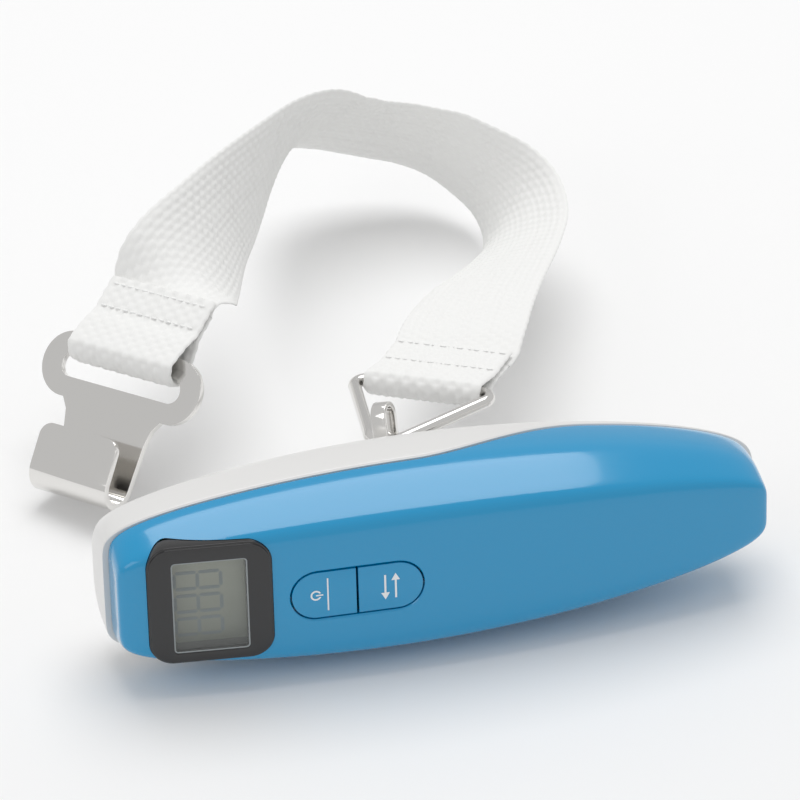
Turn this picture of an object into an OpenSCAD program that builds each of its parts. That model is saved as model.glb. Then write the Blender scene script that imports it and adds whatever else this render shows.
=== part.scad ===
// Hand-held digital luggage scale lying on its long side: a two-tone case with a display and two keys,
// a load cell with a swinging pull eye, a triangular wire ring, a webbing strap and a plate hook.
// Millimetres, +Z up, origin on the table under the flat that the case rests on.
// Case pieces are drawn in case axes: u along the case, v across it, n out through the display.

/* [Case] */
// Length of the front cover
case_length = 139; // [100:1:180]
// Half width of the case at its widest
case_half_width = 20.5; // [15:0.5:28]
// Height of the face above the case mid plane
face_height = 15; // [10:0.5:20]
// Depth of the rear below the case mid plane
rear_depth = 15; // [10:0.5:20]
// Radius of the long bow of the face
face_bow_radius = 414; // [200:1:900]
// Wall thickness of both covers
wall = 2; // [1.2:0.1:3]
// How far the rear cover stands out beyond the front cover at the sides
rear_side_step = 0.4; // [0:0.1:1]
// How far the rear cover stands out beyond the front cover at the ends
rear_end_step = 1.2; // [0:0.1:2]
// Drop of the seam at the plain end
seam_drop = 9; // [0:0.5:11]
// Draft of the case sides, which is also the backward lean of the display
side_draft = 4; // [0:0.5:8]

/* [Display and keys] */
// Bezel size along the case
bezel_length = 25.7; // [18:0.1:34]
// Bezel size across the case
bezel_width = 27.5; // [18:0.1:30]
// Bezel corner radius
bezel_corner = 5; // [2:0.1:8]
// Window size along the case
window_length = 15.7; // [10:0.1:22]
// Window size across the case
window_width = 21.4; // [12:0.1:24]
// Length of the pair of keys
key_pair_length = 27.4; // [20:0.1:34]
// Width of the pair of keys
key_pair_width = 10.6; // [7:0.1:14]
// Gap between the two keys
key_gap = 0.5; // [0.2:0.1:1]

/* [Load cell] */
// Radius of the link pin
pin_radius = 1.5; // [1:0.1:2.5]
// Position of the link pin along the case
pin_u = -4.8; // [-12:0.1:4]
// Depth of the link pin below the case mid plane
pin_depth = 16; // [15.5:0.1:20]
// Length of the sensing beam
beam_length = 58; // [40:1:70]

/* [Link chain] */
// Rise of the pull eye above level
eye_rise = 62; // [0:1:64]
// Height of the eye arch above its pin
eye_reach = 22; // [16:0.5:28]
// Radius of the ring wire
ring_wire_radius = 1.4; // [1:0.1:2]
// Half length of the ring bar between corner points
ring_half_bar = 17; // [14:0.5:22]
// Distance from the ring bar to the point where its two sides would meet
ring_side_height = 28.3; // [20:0.5:40]
// Webbing width
webbing_width = 28; // [20:0.5:32]
// Webbing thickness
webbing_thickness = 1.3; // [0.8:0.1:2]

/* [Hook] */
// Sheet thickness of the hook
hook_sheet = 1.5; // [1:0.1:2.5]
// Distance between the two round ends of the hook head
head_span = 28; // [20:0.5:34]
// Radius of the round ends of the hook head
head_radius = 7.2; // [5:0.1:9]
// Clear gap of the hook mouth
hook_mouth = 7; // [4:0.5:12]

/* [Hidden] */
$fn = 48;
soft_power = 16;
half_length = case_length / 2;
case_rise = case_half_width + rear_side_step - 0.25;
bezel_u = -51.05;
bezel_v = 0.55;
window_v = -0.65;
key_u = -20.7;
key_v = -0.5;
left_end_power = 9;
right_end_power = 6;
rows = 40;
arcs = 28;
door_radius = 11;
screw_spots = [[-36, 10.5], [-36, -10.5], [14, 10.5], [14, -10.5], [54, 5], [54, -5]];
key_posts = [[-8, 8.4], [8, 8.4], [-8, -8.4], [8, -8.4]];
holder_screw_spots = [[-9.9, 5], [9.9, 5], [-9.9, -5], [9.9, -5]];
pin_y = pin_depth * cos(side_draft);
pin_z = case_rise - pin_depth * sin(side_draft);
ring_turn = [-2, -6, -37];
ring_place = [8.9, 41.8, 30.7];
hook_turn = [52, -6, -50];
hook_place = [-50.6, 72, 24.2];
head_bar_offset = 4.95;
mouth_radius = hook_mouth / 2;
eye_turn = 54;
// Webbing course: centre of the band and the direction across it.
course = [
    [[-43.4, 79.1, 32.2], [0.64, -0.76, 0.1]],
    [[-38.4, 83.9, 36.2], [0.64, -0.76, 0.1]],
    [[-32.2, 90.4, 38.2], [0.6, -0.6, -0.5]],
    [[-25.2, 99.2, 38.2], [0.45, -0.3, -0.84]],
    [[-16.9, 112.3, 36.8], [0.22, -0.12, -0.97]],
    [[-7.4, 126.6, 35.0], [0, 0, -1]],
    [[1.3, 139.9, 33.6], [-0.2, 0.15, -0.97]],
    [[8.8, 149.9, 32.2], [-0.32, 0.4, -0.85]],
    [[14.9, 155.4, 30.3], [-0.36, 0.56, -0.75]],
    [[20, 157.4, 28.3], [-0.3, 0.58, -0.76]],
    [[25, 157.9, 26.3], [-0.2, 0.58, -0.79]],
    [[30, 157.4, 24.9], [-0.12, 0.56, -0.82]],
    [[35.2, 156.2, 23.8], [-0.07, 0.54, -0.84]],
    [[40.6, 153.9, 22.3], [-0.05, 0.5, -0.86]],
    [[46, 149.9, 20.4], [-0.1, 0.42, -0.9]],
    [[50.6, 144, 18.2], [-0.18, 0.38, -0.9]],
    [[53.6, 136.2, 16.2], [-0.38, 0.33, -0.86]],
    [[53.8, 127.2, 15.3], [-0.58, 0.3, -0.74]],
    [[50.6, 117, 16], [-0.72, 0.34, -0.58]],
    [[44.8, 105.5, 18.8], [-0.77, 0.4, -0.47]],
    [[38.4, 93.5, 22.6], [-0.79, 0.46, -0.38]],
    [[32.3, 82, 26], [-0.79, 0.51, -0.31]],
    [[27, 71.5, 28.4], [-0.79, 0.56, -0.23]],
    [[22.8, 62.5, 29.7], [-0.795, 0.585, -0.15]],
    [[19.1, 55.4, 30.1], [-0.794, 0.599, -0.105]],
    [[14.3, 49, 30.4], [-0.794, 0.599, -0.105]]
];
course_steps = 4;

function half_width(u) = case_half_width - 0.0015 * pow(u + 8, 2);
function face_at(u) = face_height - u * u / (2 * face_bow_radius);
function rear_at(u) = rear_depth - u * u / 3600;
function smooth(t) = t * t * (3 - 2 * t);
function seam_at(u) = -seam_drop * smooth(min(1, max(0, (u + 5) / 40)));
function seam_angle(u) = atan2(seam_at(u), half_width(u));
function end_power(u) = u < 0 ? left_end_power : right_end_power;
function taper(x, m) = pow(max(0, 1 - pow(min(1, abs(x)), m)), 1 / m);
function plane_term(nv, nn, d, c, s) = pow(max(0, nv * c + nn * s) / d, soft_power);
// Section radius at angle f from +v towards +n, for planes moved outward by step and inward by cut.
function section_radius(u, f, step, cut) =
    let (a = half_width(u) + step - cut)
    let (b = face_at(u) - cut)
    let (k = rear_at(u) - cut)
    let (g = 0.983 * half_width(u) - cut)
    let (h = 1.085 * half_width(u) + step - cut)
    let (c = cos(f))
    let (s = sin(f))
    let (side = plane_term(cos(side_draft), -sin(side_draft), a, c, s))
    let (other = plane_term(-cos(side_draft), -sin(side_draft), a, c, s))
    let (front = plane_term(0, 1, b, c, s) + plane_term(0, -1, k, c, s))
    let (top = plane_term(cos(24), sin(24), g, c, s) + plane_term(-cos(24), sin(24), g, c, s))
    let (low = plane_term(cos(50), -sin(50), h, c, s) + plane_term(-cos(50), -sin(50), h, c, s))
    pow(side + other + front + top + low, -1 / soft_power);
function skin_point(t, f, step, cut, reach) =
    let (u = -(half_length + reach - cut) * cos(180 * t))
    let (x = -cos(180 * t))
    let (r = section_radius(u, f, step, cut))
    [u, r * cos(f) * taper(x, end_power(u)), r * sin(f) * taper(x, 20)];
function triangles(p, q, r, s) = [
    if (p != q && q != r && p != r) [p, q, r],
    if (p != r && r != s && p != s) [p, r, s]
];
function grid_id(i, j, base) =
    i == 0 ? base : i == rows ? base + 1 : base + 2 + (i - 1) * (arcs + 1) + j;

// One cover as a closed skin between the seam on one side and the seam on the other.
module cover_skin(front, step, reach) {
    count = 2 + (rows - 1) * (arcs + 1);
    gap = 0.3;
    points = [
        for (layer = [0, 1])
            let (cut = layer * wall)
            each concat(
                [skin_point(0, 90, step, cut, reach), skin_point(1, 90, step, cut, reach)],
                [
                    for (i = [1 : rows - 1], j = [0 : arcs])
                        let (u = -(half_length + reach - cut) * cos(180 * i / rows))
                        let (lip = seam_angle(u))
                        let (low = front ? lip + gap : 180 - lip + gap)
                        let (high = front ? 180 - lip - gap : 360 + lip - gap)
                        skin_point(i / rows, low + (high - low) * j / arcs, step, cut, reach)
                ]
            )
    ];
    faces = [
        for (i = [0 : rows - 1], j = [0 : arcs - 1])
            each triangles(grid_id(i, j, 0), grid_id(i + 1, j, 0), grid_id(i + 1, j + 1, 0), grid_id(i, j + 1, 0)),
        for (i = [0 : rows - 1], j = [0 : arcs - 1])
            each triangles(grid_id(i, j, count), grid_id(i, j + 1, count),
                grid_id(i + 1, j + 1, count), grid_id(i + 1, j, count)),
        for (i = [0 : rows - 1])
            each triangles(grid_id(i + 1, 0, 0), grid_id(i, 0, 0), grid_id(i, 0, count), grid_id(i + 1, 0, count)),
        for (i = [0 : rows - 1])
            each triangles(grid_id(i, arcs, 0), grid_id(i + 1, arcs, 0),
                grid_id(i + 1, arcs, count), grid_id(i, arcs, count))
    ];
    polyhedron(points = points, faces = faces, convexity = 6);
}

module in_case() {
    translate([0, 0, case_rise])
        rotate([90 - side_draft, 0, 0])
            children();
}

module on_face(u, v) {
    translate([u, v, face_at(u)])
        rotate([0, asin(u / face_bow_radius), 0])
            children();
}

module rounded_rect(w, h, r) {
    square([w - 2 * r, h], center = true);
    square([w, max(0.05, h - 2 * r)], center = true);
    for (x = [-1, 1], y = [-1, 1])
        translate([x * (w / 2 - r), y * (h / 2 - r)])
            circle(r);
}

module rounded_plate(w, h, r, low, high) {
    translate([0, 0, low])
        linear_extrude(high - low)
            rounded_rect(w, h, r);
}

module post(x, y, r, low, high) {
    translate([x, y, low])
        cylinder(h = high - low, r = r);
}

module front_cover() {
    color("deepskyblue")
        in_case()
            difference() {
                union() {
                    cover_skin(true, 0, 0);
                    for (s = screw_spots)
                        post(s[0], s[1], 3, -0.4, face_at(s[0]) - 1.2);
                    on_face(key_u, key_v)
                        for (s = key_posts)
                            post(s[0], s[1], 1.8, -9.8, -1);
                }
                on_face(bezel_u, bezel_v)
                    rounded_plate(bezel_length + 0.2, bezel_width + 0.2, bezel_corner + 0.1, -8, 6);
                on_face(key_u, key_v)
                    rounded_plate(key_pair_length + 0.8, key_pair_width + 0.8, key_pair_width / 2 + 0.4, -5, 5);
                for (s = screw_spots)
                    post(s[0], s[1], 1.45, -1, 7);
                on_face(key_u, key_v)
                    for (s = key_posts)
                        post(s[0], s[1], 0.8, -10, -5);
            }
}

module rear_cover() {
    color("whitesmoke")
        difference() {
            union() {
                // Low pad that squares up the flat the case lies on.
                translate([-18, -0.6, -0.5])
                    cube([20, 7.6, 1.3]);
                in_case()
                    rear_shell();
            }
            translate([0, 0, -5])
                cube([300, 100, 10], center = true);
        }
}

module rear_shell() {
    difference() {
        union() {
            cover_skin(false, rear_side_step, rear_end_step);
            for (s = screw_spots)
                post(s[0], s[1], 3.7, 1.2 - rear_at(s[0]), -0.6);
            translate([41, 0, -13])
                cube([17, 16, 2], center = true);
            difference() {
                post(-48, 0, 12, -14, -9.4);
                post(-48, 0, 10.4, -15, -9);
            }
        }
        for (s = screw_spots) {
            post(s[0], s[1], 2.7, -18, -11);
            post(s[0], s[1], 1.6, -12, 1);
        }
        for (u = [37.5, 44.5])
            post(u, 0, 1.5, -13.4, -11);
        translate([pin_u, 0, -14])
            cube([11, 8.8, 5], center = true);
        post(-48, 0, 10.4, -14, -10);
        post(-48, 0, door_radius + 0.2, -18, -13.1);
    }
}

module display_bezel() {
    color("black")
        in_case()
            on_face(bezel_u, bezel_v)
                difference() {
                    union() {
                        rounded_plate(bezel_length, bezel_width, bezel_corner, -3.6, 0);
                        rounded_plate(bezel_length - 0.8, bezel_width - 0.8, bezel_corner - 0.4, -0.1, 0.35);
                    }
                    translate([0, window_v, 0]) {
                        rounded_plate(window_length - 0.8, window_width - 0.8, 0.6, -4, 1);
                        rounded_plate(window_length, window_width, 0.9, -0.9, 1);
                    }
                }
}

module display_window() {
    color("lightgrey", 0.35)
        in_case()
            on_face(bezel_u, bezel_v)
                translate([0, window_v, 0])
                    rounded_plate(window_length - 0.1, window_width - 0.1, 0.85, -0.9, 0);
}

module lcd_panel() {
    color("darkseagreen")
        in_case()
            on_face(bezel_u, bezel_v)
                translate([0, window_v, 0])
                    rounded_plate(17, 21.6, 0.3, -5.9, -3.65);
}

module lcd_holder() {
    color("dimgrey")
        in_case()
            on_face(bezel_u, bezel_v)
                translate([0, window_v, 0])
                    difference() {
                        rounded_plate(22.4, 23, 3, -8.3, -3.65);
                        rounded_plate(17.1, 21.7, 0.3, -9, -3);
                        for (s = holder_screw_spots)
                            post(s[0], s[1], 0.65, -9, -5.5);
                    }
}

module zebra_strips() {
    color("hotpink")
        in_case()
            on_face(bezel_u, bezel_v)
                translate([0, window_v, 0])
                    for (y = [-9.4, 9.4])
                        translate([0, y, -7.1])
                            cube([15.4, 2, 2.4], center = true);
}

module display_board() {
    color("seagreen")
        in_case()
            on_face(bezel_u, bezel_v)
                translate([0, window_v, 0])
                    difference() {
                        rounded_plate(22, 23.6, 2.6, -9.5, -8.3);
                        for (s = holder_screw_spots)
                            post(s[0], s[1], 0.75, -10, -8);
                    }
}

module controller_chip() {
    color("black")
        in_case()
            on_face(bezel_u, bezel_v)
                translate([0, window_v, 0]) {
                    post(-1, 0, 3.6, -10.8, -9.5);
                    for (y = [-8, -6, 6, 8])
                        translate([2, y, -9.85])
                            cube([1.8, 1, 0.7], center = true);
                    translate([7, 0, -10.2])
                        cube([2, 7, 1.4], center = true);
                }
}

module holder_screws() {
    color("silver")
        in_case()
            on_face(bezel_u, bezel_v)
                translate([0, window_v, 0])
                    for (s = holder_screw_spots) {
                        post(s[0], s[1], 1.1, -10.3, -9.5);
                        post(s[0], s[1], 0.62, -9.5, -6);
                    }
}

// One half of the pill: side -1 is the power key, side 1 the unit key.
module key_half(side) {
    difference() {
        union() {
            rounded_plate(key_pair_length, key_pair_width, key_pair_width / 2, -2.7, -0.3);
            rounded_plate(key_pair_length + 1.8, key_pair_width + 1.8, key_pair_width / 2 + 0.9, -3.5, -2.6);
        }
        translate([-side * 20 + side * key_gap / 2, 0, 0])
            cube([40, 40, 20], center = true);
    }
    post(side * 7, 0, 1.4, -6, -3.4);
}

module power_key() {
    color("deepskyblue")
        in_case()
            on_face(key_u, key_v)
                key_half(-1);
}

module unit_key() {
    color("deepskyblue")
        in_case()
            on_face(key_u, key_v)
                key_half(1);
}

// Printed marks: an open ring with a bar for power, and a divider line.
module power_key_icons() {
    color("white")
        in_case()
            on_face(key_u, key_v) {
                translate([-8.7, 0, -0.3])
                    difference() {
                        cylinder(h = 0.08, r = 1.15);
                        translate([0, 0, -1])
                            cylinder(h = 3, r = 0.8);
                        translate([0.9, 0, 0])
                            cube([1.2, 0.9, 1], center = true);
                    }
                translate([-7.95, 0, -0.26])
                    cube([1.5, 0.3, 0.08], center = true);
                translate([-6.2, 0, -0.26])
                    cube([0.3, 7.6, 0.08], center = true);
            }
}

// Printed mark: two opposed arrows for changing the unit.
module unit_key_icon() {
    color("white")
        in_case()
            on_face(key_u, key_v)
                for (s = [-1, 1])
                    translate([6.9 + s * 1.1, 0, -0.3])
                        linear_extrude(0.08)
                            polygon([
                                [-0.2, -s * 2.8], [-0.2, s * 1.4], [-0.9, s * 1.4], [0, s * 3],
                                [0.9, s * 1.4], [0.2, s * 1.4], [0.2, -s * 2.8]
                            ]);
}

module key_plunger(side) {
    color("ivory")
        in_case()
            on_face(key_u, key_v)
                post(side * 7, 0, 1.6, -7.4, -6);
}

module power_plunger() {
    key_plunger(-1);
}

module unit_plunger() {
    key_plunger(1);
}

module tact_switches() {
    color("darkslategrey")
        in_case()
            on_face(key_u, key_v)
                for (x = [-7, 7])
                    difference() {
                        translate([x, 0, -8.1])
                            cube([6, 6, 3.6], center = true);
                        post(x, 0, 1.7, -8.4, -6);
                    }
}

module key_board() {
    color("seagreen")
        in_case()
            on_face(key_u, key_v)
                difference() {
                    rounded_plate(24, 21, 1, -11.1, -9.9);
                    for (s = key_posts)
                        post(s[0], s[1], 1, -12, -9);
                }
}

module key_board_screws() {
    color("silver")
        in_case()
            on_face(key_u, key_v)
                for (s = key_posts) {
                    post(s[0], s[1], 1.7, -12.1, -11.1);
                    post(s[0], s[1], 0.75, -11.1, -6);
                }
}

// Sensing beam: a bar thinned by two cross holes joined by a slot.
module load_beam() {
    color("silver")
        in_case()
            difference() {
                translate([beam_length / 2 - 10, 0, -6])
                    cube([beam_length, 11, 9], center = true);
                for (u = [12, 24])
                    translate([u, 0, -6])
                        rotate([90, 0, 0])
                            cylinder(h = 20, r = 3, center = true);
                translate([18, 0, -6])
                    cube([12, 20, 1.6], center = true);
                for (u = [-8.2, -1.4, 37.5, 44.5])
                    post(u, 0, 1.6, -12, 0);
            }
}

module strain_gauges() {
    color("gold")
        in_case()
            for (s = [-1, 1])
                translate([18, 0, -6 + s * 4.75])
                    cube([16, 7, 0.5], center = true);
}

module beam_spacer() {
    color("grey")
        in_case()
            difference() {
                translate([41, 0, -11.25])
                    cube([16, 14, 1.5], center = true);
                for (u = [37.5, 44.5])
                    post(u, 0, 1.6, -13, -10);
            }
}

module beam_screws() {
    color("silver")
        in_case()
            for (u = [37.5, 44.5]) {
                post(u, 0, 2.7, -1.5, 0.5);
                post(u, 0, 1.45, -13, -1.5);
            }
}

// Fork bolted under the free end of the beam; its ears stand out through the rear cover.
module pull_lug() {
    color("slategrey")
        in_case()
            difference() {
                union() {
                    translate([pin_u, 0, -11.6])
                        cube([10.2, 8, 2.2], center = true);
                    for (s = [-1, 1])
                        translate([pin_u + s * 2.9, 0, 0]) {
                            translate([0, 0, -14.25])
                                cube([2.2, 6, 3.5], center = true);
                            translate([0, 0, -pin_depth])
                                rotate([0, 90, 0])
                                    cylinder(h = 2.2, r = 3, center = true);
                        }
                }
                translate([pin_u, 0, -pin_depth])
                    rotate([0, 90, 0])
                        cylinder(h = 20, r = pin_radius, center = true);
                for (u = [-8.2, -1.4])
                    post(u, 0, 1.45, -12.6, -10);
            }
}

module lug_screws() {
    color("silver")
        in_case()
            for (u = [-8.2, -1.4]) {
                post(u, 0, 2.6, -1.5, 0.3);
                post(u, 0, 1.43, -12.4, -1.5);
            }
}

module link_pin() {
    color("silver")
        in_case()
            translate([pin_u, 0, -pin_depth])
                rotate([0, 90, 0]) {
                    cylinder(h = 8.2, r = pin_radius - 0.02, center = true);
                    for (s = [-1, 1])
                        translate([0, 0, s * 4.35])
                            cylinder(h = 0.6, r = 2.1, center = true);
                }
}

// Flat-wire eye: a knuckle round the pin, a neck, two legs and an arch turned to face the ring wire.
module pull_eye() {
    arch = eye_reach - 3.2;
    color("silver")
        translate([pin_u, pin_y, pin_z])
            rotate([eye_rise - 90, 0, 0])
                difference() {
                    union() {
                        rotate([0, 90, 0])
                            cylinder(h = 3.4, r = 2.9, center = true);
                        translate([0, 0, 5])
                            cube([3.2, 3, 8], center = true);
                        rotate([0, 0, eye_turn])
                            translate([0, 0, 8.9])
                                cube([6.4, 3.2, 2.2], center = true);
                        rotate([0, 0, eye_turn])
                            for (s = [-1, 1])
                                translate([s * 2.65, 0, (arch + 8.5) / 2])
                                    cube([1.1, 3.2, arch - 8.5], center = true);
                        rotate([0, 0, eye_turn])
                            translate([0, 0, arch])
                                rotate([90, 0, 0])
                                    difference() {
                                        cylinder(h = 3.2, r = 3.2, center = true);
                                        cylinder(h = 4, r = 2.1, center = true);
                                        translate([0, -5, 0])
                                            cube([10, 10, 10], center = true);
                                    }
                    }
                    rotate([0, 90, 0])
                        cylinder(h = 8, r = pin_radius + 0.05, center = true);
                }
}

// Rounded corner of the ring wire, tangent to both straights.
module wire_corner(at, heading, opening, bend) {
    reach = bend / sin(opening / 2);
    translate([at[0] + reach * cos(heading), at[1] + reach * sin(heading), 0])
        rotate([0, 0, heading + 90 + opening / 2])
            rotate_extrude(angle = 180 - opening)
                translate([bend, 0])
                    circle(ring_wire_radius);
}

module wire_run(a, b, cut_a, cut_b) {
    lap = 0.15;
    span = norm([b[0] - a[0], b[1] - a[1]]);
    turn = atan2(b[1] - a[1], b[0] - a[0]);
    translate([a[0], a[1], 0])
        rotate([0, 0, turn])
            translate([cut_a - lap, 0, 0])
                rotate([0, 90, 0])
                    cylinder(h = span - cut_a - cut_b + 2 * lap, r = ring_wire_radius - 0.02);
}

module triangle_ring() {
    base_angle = atan2(ring_side_height, ring_half_bar);
    tip_angle = 180 - 2 * base_angle;
    base_bend = 2.3;
    tip_bend = 4.5;
    base_cut = base_bend / tan(base_angle / 2);
    tip_cut = tip_bend / tan(tip_angle / 2);
    left = [-ring_half_bar, 0];
    right = [ring_half_bar, 0];
    tip = [0, -ring_side_height];
    color("silver")
        translate(ring_place)
            rotate(ring_turn) {
                wire_run(left, right, base_cut, base_cut);
                wire_run(right, tip, base_cut, tip_cut);
                wire_run(tip, left, tip_cut, base_cut);
                wire_corner(left, -base_angle / 2, base_angle, base_bend);
                wire_corner(right, 180 + base_angle / 2, base_angle, base_bend);
                wire_corner(tip, 90, tip_angle, tip_bend);
            }
}

function spline(a, b, c, d, t) =
    0.5 * ((2 * b) + (c - a) * t + (2 * a - 5 * b + 4 * c - d) * t * t + (3 * b - a - 3 * c + d) * t * t * t);
function course_value(k, part) =
    let (last = len(course) - 1)
    let (i = min(last - 1, floor(k / course_steps)))
    let (t = k / course_steps - i)
    spline(course[max(0, i - 1)][part], course[i][part], course[i + 1][part], course[min(last, i + 2)][part], t);
function unit(v) = v / norm(v);

// The single layer of webbing between the two stitched ends, as a swept flat section.
module webbing_band() {
    last = (len(course) - 1) * course_steps;
    points = [
        for (k = [0 : last])
            let (centre = course_value(k, 0))
            let (along = unit(course_value(min(last, k + 1), 0) - course_value(max(0, k - 1), 0)))
            let (raw = course_value(k, 1))
            let (across = unit(raw - (raw * along) * along))
            let (up = cross(across, along))
            for (c = [[-1, -1], [1, -1], [1, 1], [-1, 1]])
                centre + across * c[0] * webbing_width / 2 + up * c[1] * webbing_thickness / 2
    ];
    faces = [
        [3, 2, 1],
        [3, 1, 0],
        for (k = [0 : last - 1], j = [0 : 3])
            each [
                [4 * k + j, 4 * k + (j + 1) % 4, 4 * k + 4 + (j + 1) % 4],
                [4 * k + j, 4 * k + 4 + (j + 1) % 4, 4 * k + 4 + j]
            ],
        [4 * last, 4 * last + 1, 4 * last + 2],
        [4 * last, 4 * last + 2, 4 * last + 3]
    ];
    polyhedron(points = points, faces = faces, convexity = 6);
}

module strap_axes(at, along, across) {
    up = cross(across, along);
    multmatrix([
        [along[0], up[0], across[0], at[0]],
        [along[1], up[1], across[1], at[1]],
        [along[2], up[2], across[2], at[2]],
        [0, 0, 0, 1]
    ])
        children();
}

module drop_outline(r, tip) {
    start = acos(r / tip);
    steps = 22;
    polygon([
        [tip, 0],
        for (i = [0 : steps])
            let (turn = start + i * (360 - 2 * start) / steps)
            [r * cos(turn), r * sin(turn)]
    ]);
}

// Folded end of the strap: a loop round the bar and a stitched double layer.
module strap_end(clear_radius, length, width) {
    t = webbing_thickness;
    linear_extrude(width, center = true)
        difference() {
            union() {
                drop_outline(clear_radius + t, clear_radius * 4);
                translate([clear_radius * 1.9, -t])
                    square([length - clear_radius * 1.9, 2 * t]);
            }
            drop_outline(clear_radius, clear_radius * 2.9);
        }
}

hook_strap_along = [0.6264, 0.5954, 0.5031];
hook_strap_across = [0.6392, -0.7618, 0.1057];
hook_bar = [-48.5, 74.3, 28.1];
ring_strap_along = [0.6044, 0.7960, -0.0347];
ring_strap_across = [0.7943, -0.5985, 0.1045];

module strap() {
    color("white")
        union() {
            webbing_band();
            strap_axes(hook_bar, hook_strap_along, hook_strap_across)
                strap_end(2.75, 17, webbing_width + 0.6);
            strap_axes(ring_place, ring_strap_along, ring_strap_across)
                strap_end(1.65, 17, webbing_width - 1.4);
        }
}

module stitch_row(at, along, across, face) {
    strap_axes(at, along, across)
        for (k = [-5 : 5])
            translate([face, webbing_thickness + 0.15, k * 2.2])
                cube([0.5, 0.3, 1.5], center = true);
}

module strap_stitching() {
    color("gainsboro") {
        stitch_row(hook_bar, hook_strap_along, hook_strap_across, 10.5);
        stitch_row(hook_bar, hook_strap_along, hook_strap_across, 15.5);
        stitch_row(ring_place, ring_strap_along, ring_strap_across, 7.5);
        stitch_row(ring_place, ring_strap_along, ring_strap_across, 12.5);
    }
}

module hook_plate() {
    half = hook_sheet / 2;
    bend = mouth_radius + half;
    color("silver")
        translate(hook_place)
            rotate(hook_turn) {
                difference() {
                    translate([0, 0, -half])
                        linear_extrude(hook_sheet)
                            union() {
                                square([head_span, 2 * head_radius], center = true);
                                for (s = [-1, 1])
                                    translate([s * head_span / 2, 0])
                                        circle(head_radius);
                                polygon([
                                    [-14, -6], [14, -6], [11.6, -9.5], [10.8, -13], [10.3, -23],
                                    [-10.3, -23], [-10.8, -13], [-11.6, -9.5]
                                ]);
                            }
                    rounded_plate(32, 5.5, 2.7, -5, 5);
                }
                translate([0, -23, bend])
                    rotate([0, 90, 0])
                        difference() {
                            cylinder(h = 20.6, r = bend + half, center = true);
                            cylinder(h = 30, r = bend - half, center = true);
                            translate([0, 10, 0])
                                cube([30, 20, 40], center = true);
                        }
                translate([0, 0, 2 * bend - half])
                    linear_extrude(hook_sheet)
                        union() {
                            translate([-10.3, -23.001])
                                square([20.6, 6.5]);
                            translate([-7.3, -17])
                                square([14.6, 3.5]);
                            for (s = [-1, 1])
                                translate([s * 7.3, -16.5])
                                    circle(3);
                        }
            }
}

module battery_cell() {
    color("silver")
        in_case()
            post(-48, 0, 10, -12.9, -9.7);
}

module battery_clip() {
    color("goldenrod")
        in_case()
            translate([-48, 0, 0])
                difference() {
                    translate([0, 0, -8.9])
                        cube([26, 5, 0.5], center = true);
                    post(0, 0, 1.2, -10, -8);
                }
}

module battery_spring() {
    color("goldenrod")
        in_case()
            translate([-48, 0, 0]) {
                post(0, 0, 1, -9.7, -8);
                post(0, 0, 2.4, -8.4, -8);
            }
}

module battery_door() {
    color("whitesmoke")
        in_case()
            post(-48, 0, door_radius, -14.3, -13.1);
}

module housing_screws() {
    color("silver")
        in_case()
            for (s = screw_spots) {
                post(s[0], s[1], 2.5, -12.8, -11);
                post(s[0], s[1], 1.4, -11, 5);
            }
}

// A wire drawn whole along its route, rounded at each turn.
module wire(route, r) {
    for (k = [0 : len(route) - 2]) {
        step = route[k + 1] - route[k];
        translate(route[k])
            rotate([0, acos(step[2] / norm(step)), atan2(step[1], step[0])])
                cylinder(h = norm(step), r = r);
    }
    for (k = [1 : len(route) - 2])
        translate(route[k])
            sphere(r * 1.2);
}

module load_cell_wires() {
    color("firebrick")
        in_case()
            wire([[11, 3, -0.2], [11, 7, 0.4], [-30, 7, 0.4], [-41, 3, 0]], 0.6);
}

module battery_wires() {
    color("black")
        in_case()
            wire([[-38, 0, -8], [-36, -4, -6], [-38, -6.5, -2], [-42.2, -6.5, 1]], 0.5);
}

front_cover();
rear_cover();
display_bezel();
display_window();
lcd_panel();
lcd_holder();
zebra_strips();
display_board();
controller_chip();
holder_screws();
power_key();
power_key_icons();
unit_key();
unit_key_icon();
power_plunger();
unit_plunger();
tact_switches();
key_board();
key_board_screws();
load_beam();
strain_gauges();
beam_spacer();
beam_screws();
pull_lug();
lug_screws();
link_pin();
pull_eye();
triangle_ring();
strap();
strap_stitching();
hook_plate();
battery_cell();
battery_clip();
battery_spring();
battery_door();
housing_screws();
load_cell_wires();
battery_wires();
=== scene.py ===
"""Digital luggage scale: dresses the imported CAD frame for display.

The case is a pair of fine skins, the strap one long woven band, and the display a recessed panel
with unlit digits. Lengths in the builders are millimetres in the row frame and become metres when
a mesh is made.
"""

import logging
import math
from dataclasses import dataclass, field
from enum import Enum

import bmesh
import bpy
import numpy as np
from mathutils import Matrix


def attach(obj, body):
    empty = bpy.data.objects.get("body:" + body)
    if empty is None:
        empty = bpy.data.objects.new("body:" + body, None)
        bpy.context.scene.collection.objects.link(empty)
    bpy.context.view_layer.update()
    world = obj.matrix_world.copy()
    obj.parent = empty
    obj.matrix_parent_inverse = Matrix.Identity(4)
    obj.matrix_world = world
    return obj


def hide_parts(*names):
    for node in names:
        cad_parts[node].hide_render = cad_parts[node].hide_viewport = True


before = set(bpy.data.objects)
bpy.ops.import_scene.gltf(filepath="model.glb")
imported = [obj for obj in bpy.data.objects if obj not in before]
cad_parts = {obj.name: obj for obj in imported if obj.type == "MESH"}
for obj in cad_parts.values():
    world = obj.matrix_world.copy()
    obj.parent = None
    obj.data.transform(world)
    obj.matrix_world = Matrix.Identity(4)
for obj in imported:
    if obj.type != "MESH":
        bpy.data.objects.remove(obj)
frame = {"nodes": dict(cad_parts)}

log = logging.getLogger("luggage_scale")
MM = 0.001


class Region(Enum):
    """The two halves of the case."""

    FRONT = "front"
    REAR = "rear"


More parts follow.
